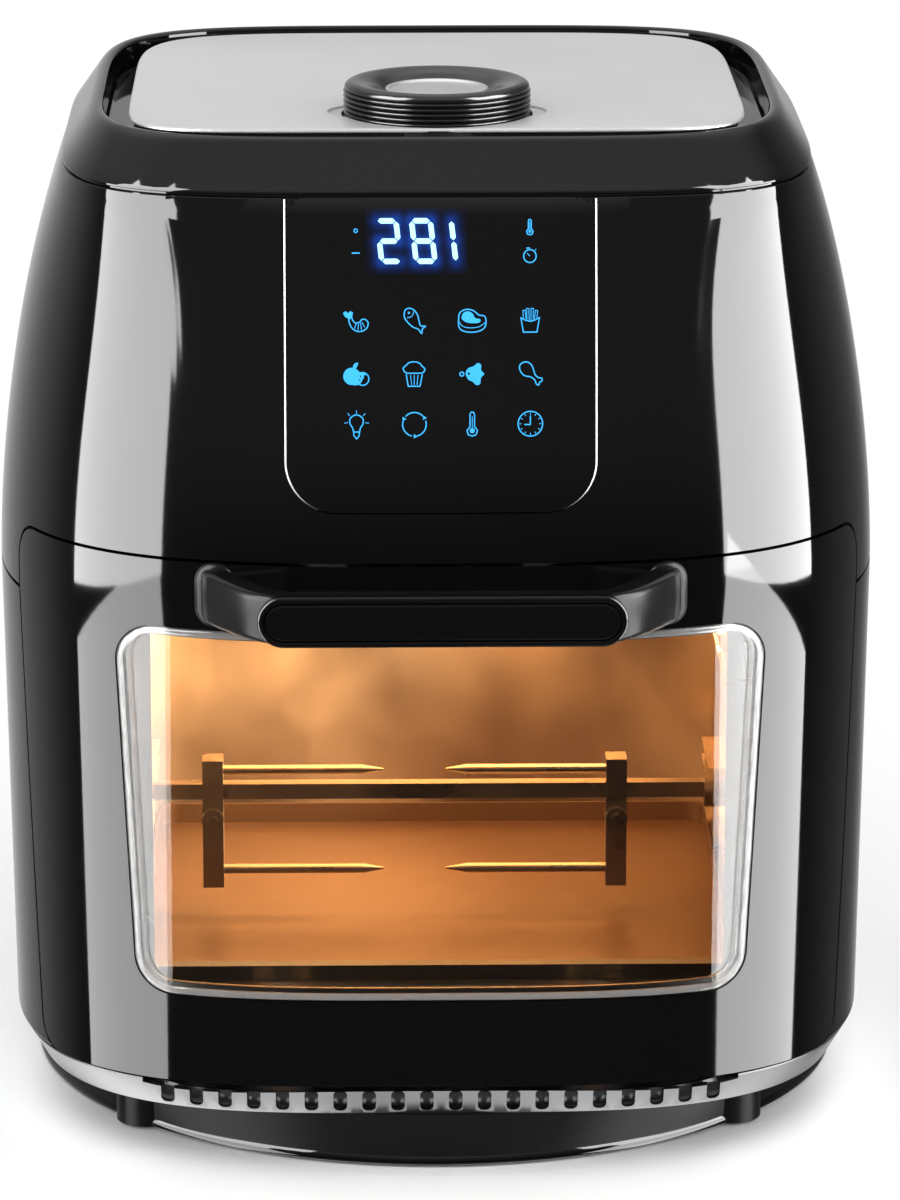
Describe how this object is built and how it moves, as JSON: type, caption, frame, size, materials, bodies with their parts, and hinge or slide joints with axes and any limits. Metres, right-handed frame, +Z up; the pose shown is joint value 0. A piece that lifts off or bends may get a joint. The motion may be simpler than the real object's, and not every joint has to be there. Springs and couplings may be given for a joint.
{
  "type": "air fryer",
  "caption": "Tall rounded hot-air oven with a drop-down glass door, bar handle, touch panel on the sloping front, silver top plate with a ribbed knob, spit inside and a round base.",
  "frame": {"origin": "centre of the round base on the surface it stands on", "axes": "+Z up, front with door and handle towards -Y, +X to the right of someone facing the front"},
  "size_m": [0.33, 0.3639, 0.3906],
  "materials": {
    "gloss_black": "high gloss",
    "dark_plastic": "satin",
    "rubber_black": "matt",
    "steel_sheet": "satin",
    "silver_plate": "satin",
    "bright_metal": "polished",
    "zinc": "satin",
    "tray_enamel": "semi gloss",
    "aluminium_fan": "satin",
    "clear_glass": "polished",
    "touch_glass": "high gloss",
    "display_blue": "lit",
    "circuit_board": "satin",
    "grey_case": "satin",
    "element_sheath": "oxidised",
    "glass_wool": "fibrous",
    "white_ceramic": "satin",
    "lamp_glass": "lit",
    "brass_bush": "satin",
    "red_plastic": "satin"
  },
  "bodies": {
    "root": {"upper_housing": "gloss_black", "lower_housing": "gloss_black", "base_skirt": "gloss_black", "base_pan": "dark_plastic", "rubber_feet": "rubber_black", "chassis_plate": "zinc", "top_plate": "silver_plate", "knob_collar": "silver_plate", "rear_grille": "dark_plastic", "cord_inlet": "rubber_black", "housing_screws": "zinc", "control_panel": "touch_glass", "panel_trim": "bright_metal", "display_board": "circuit_board", "display_module": "display_blue", "encoder": "grey_case", "power_board": "circuit_board", "board_tray": "zinc", "cooking_chamber": "steel_sheet", "front_flange": "steel_sheet", "left_rack_rail": "steel_sheet", "right_rack_rail": "steel_sheet", "drip_tray": "tray_enamel", "fan_guard": "steel_sheet", "heating_element": "element_sheath", "element_clips": "zinc", "motor_bracket": "zinc", "fan_motor": "zinc", "exhaust_duct": "zinc", "insulation": "glass_wool", "lamp_holder": "white_ceramic", "oven_lamp": "lamp_glass", "lamp_cover": "clear_glass", "temperature_sensor": "zinc", "thermal_fuse": "white_ceramic", "spit_motor": "zinc", "drive_bush": "brass_bush", "spit_bearing": "steel_sheet", "door_switch": "grey_case", "door_magnets": "grey_case", "hinge_brackets": "zinc", "hinge_pins": "bright_metal"},
    "door": {"door_frame": "gloss_black", "window_glass": "clear_glass", "window_frame": "dark_plastic", "door_inner_panel": "steel_sheet", "inner_glass": "clear_glass", "door_gasket": "rubber_black", "handle": "gloss_black", "handle_inlay": "gloss_black", "handle_screws": "zinc", "hinge_knuckles": "grey_case", "striker_plates": "zinc"},
    "plunger": {"switch_plunger": "red_plastic"},
    "knob": {"knob": "dark_plastic", "knob_shaft": "bright_metal"},
    "button": {"start_button": "bright_metal"},
    "fan": {"hot_air_fan": "aluminium_fan", "cooling_fan": "aluminium_fan"},
    "spit": {"rotisserie": "bright_metal"}
  },
  "joints": [
    {"name": "door_hinge", "type": "hinge", "parent": "root", "child": "door", "pos_m": [0, -0.1505, 0.0485], "axis": [1, 0, 0], "range_deg": [0, 85]},
    {"name": "plunger_slide", "type": "slide", "parent": "root", "child": "plunger", "axis": [0, -1, 0], "range_m": [0, 0.003]},
    {"name": "knob_spin", "type": "hinge", "parent": "root", "child": "knob", "pos_m": [0, -0.067, 0.3772], "axis": [0, 0, 1], "continuous": true},
    {"name": "button_press", "type": "slide", "parent": "knob", "child": "button", "axis": [0, 0, -1], "range_m": [0, 0.0015], "stiffness_N_per_m": 600, "springref_m": -0.001},
    {"name": "fan_spin", "type": "hinge", "parent": "root", "child": "fan", "pos_m": [0, 0.006, 0.23], "axis": [0, 0, 1], "continuous": true},
    {"name": "spit_spin", "type": "hinge", "parent": "root", "child": "spit", "pos_m": [0, -0.015, 0.104], "axis": [1, 0, 0], "continuous": true}
  ],
  "couplings": [
    {"joint": "plunger_slide", "follows": "door_hinge", "m_per_rad": 0.002}
  ]
}
